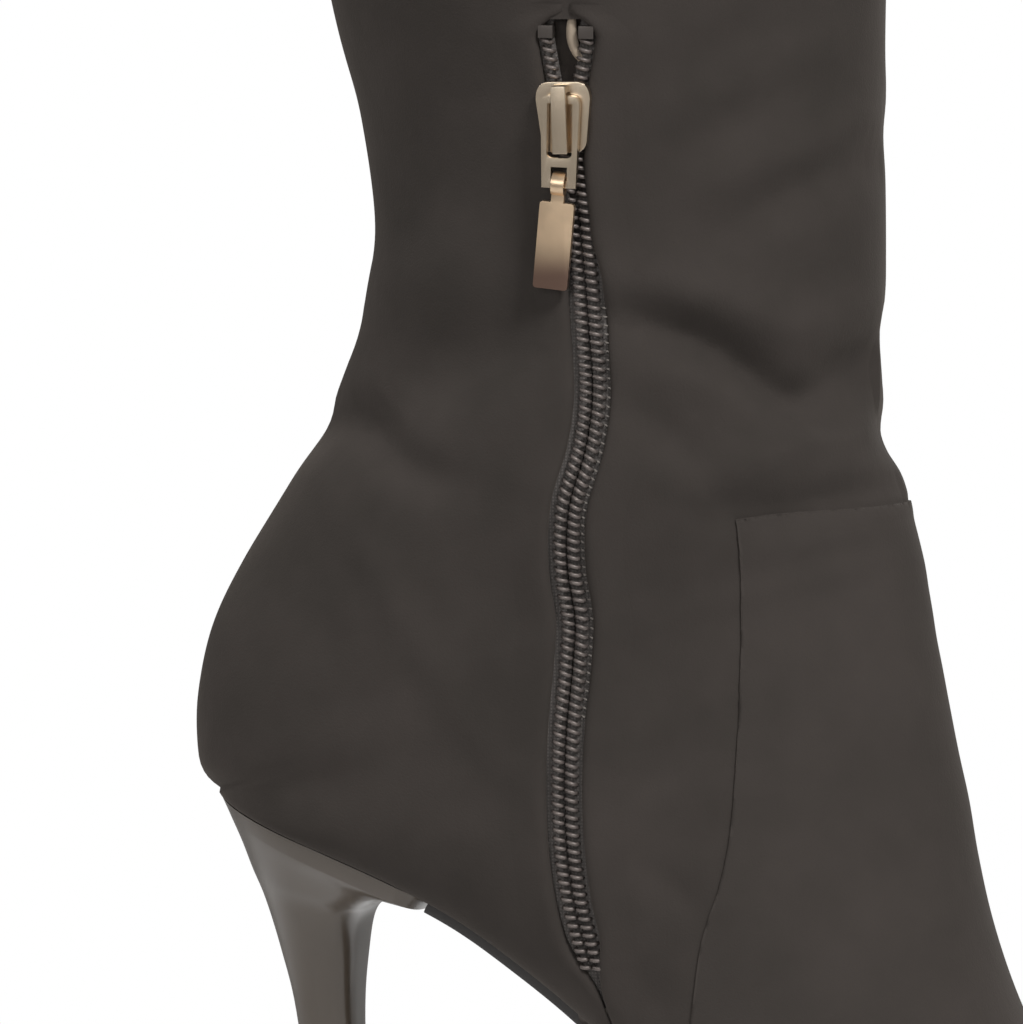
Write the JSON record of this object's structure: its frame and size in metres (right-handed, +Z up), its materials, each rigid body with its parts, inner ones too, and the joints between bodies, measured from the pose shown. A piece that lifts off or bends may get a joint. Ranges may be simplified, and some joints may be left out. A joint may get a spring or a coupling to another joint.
{
  "type": "knee-high boot",
  "caption": "Left knee-high pointed-toe boot in suede with a slim stiletto heel and an exposed ankle zip on its inner side, with slider and hinged pull.",
  "frame": {"origin": "middle of the bounding box on the floor plane, under the standing boot", "axes": "+X towards the toe, +Y towards the outer (lateral) side, -Y towards the inner side with the zip, +Z up to the collar"},
  "size_m": [0.2356, 0.113, 0.485],
  "materials": {
    "suede": "matte stretch microsuede, near black",
    "vamp_suede": "matte stretch microsuede, near black",
    "sole_rubber": "matte",
    "lining": "matte",
    "heel_lacquer": "glossy dark taupe",
    "lift_rubber": "matte",
    "coil": "metal-look coil",
    "tape": "woven tape",
    "nickel": "warm polished nickel",
    "pull_metal": "worn satin"
  },
  "bodies": {
    "boot": {"upper": "suede", "vamp": "vamp_suede", "outsole": "sole_rubber", "insole": "lining", "heel": "heel_lacquer", "heel_lift": "lift_rubber", "zip_chain": "coil", "zip_teeth_left": "coil", "zip_teeth_right": "coil", "zip_stop_left": "coil", "zip_stop_right": "coil", "zip_tape_left": "tape", "zip_tape_right": "tape", "zip_slider": "nickel"},
    "pull_frame": {"pull_frame": "nickel"},
    "pull_tab": {"pull_tab": "pull_metal"}
  },
  "joints": [
    {"name": "pull_swing", "type": "hinge", "parent": "boot", "child": "pull_frame", "pos_m": [-0.04779, -0.0421, 0.21987], "axis": [-0.9987, 0.0213, 0.0471], "range_deg": [0, 115]},
    {"name": "tab_swing", "type": "hinge", "parent": "pull_frame", "child": "pull_tab", "pos_m": [-0.0484, -0.0403, 0.20626], "axis": [-0.9932, 0.0121, 0.1161], "range_deg": [0, 90]}
  ]
}
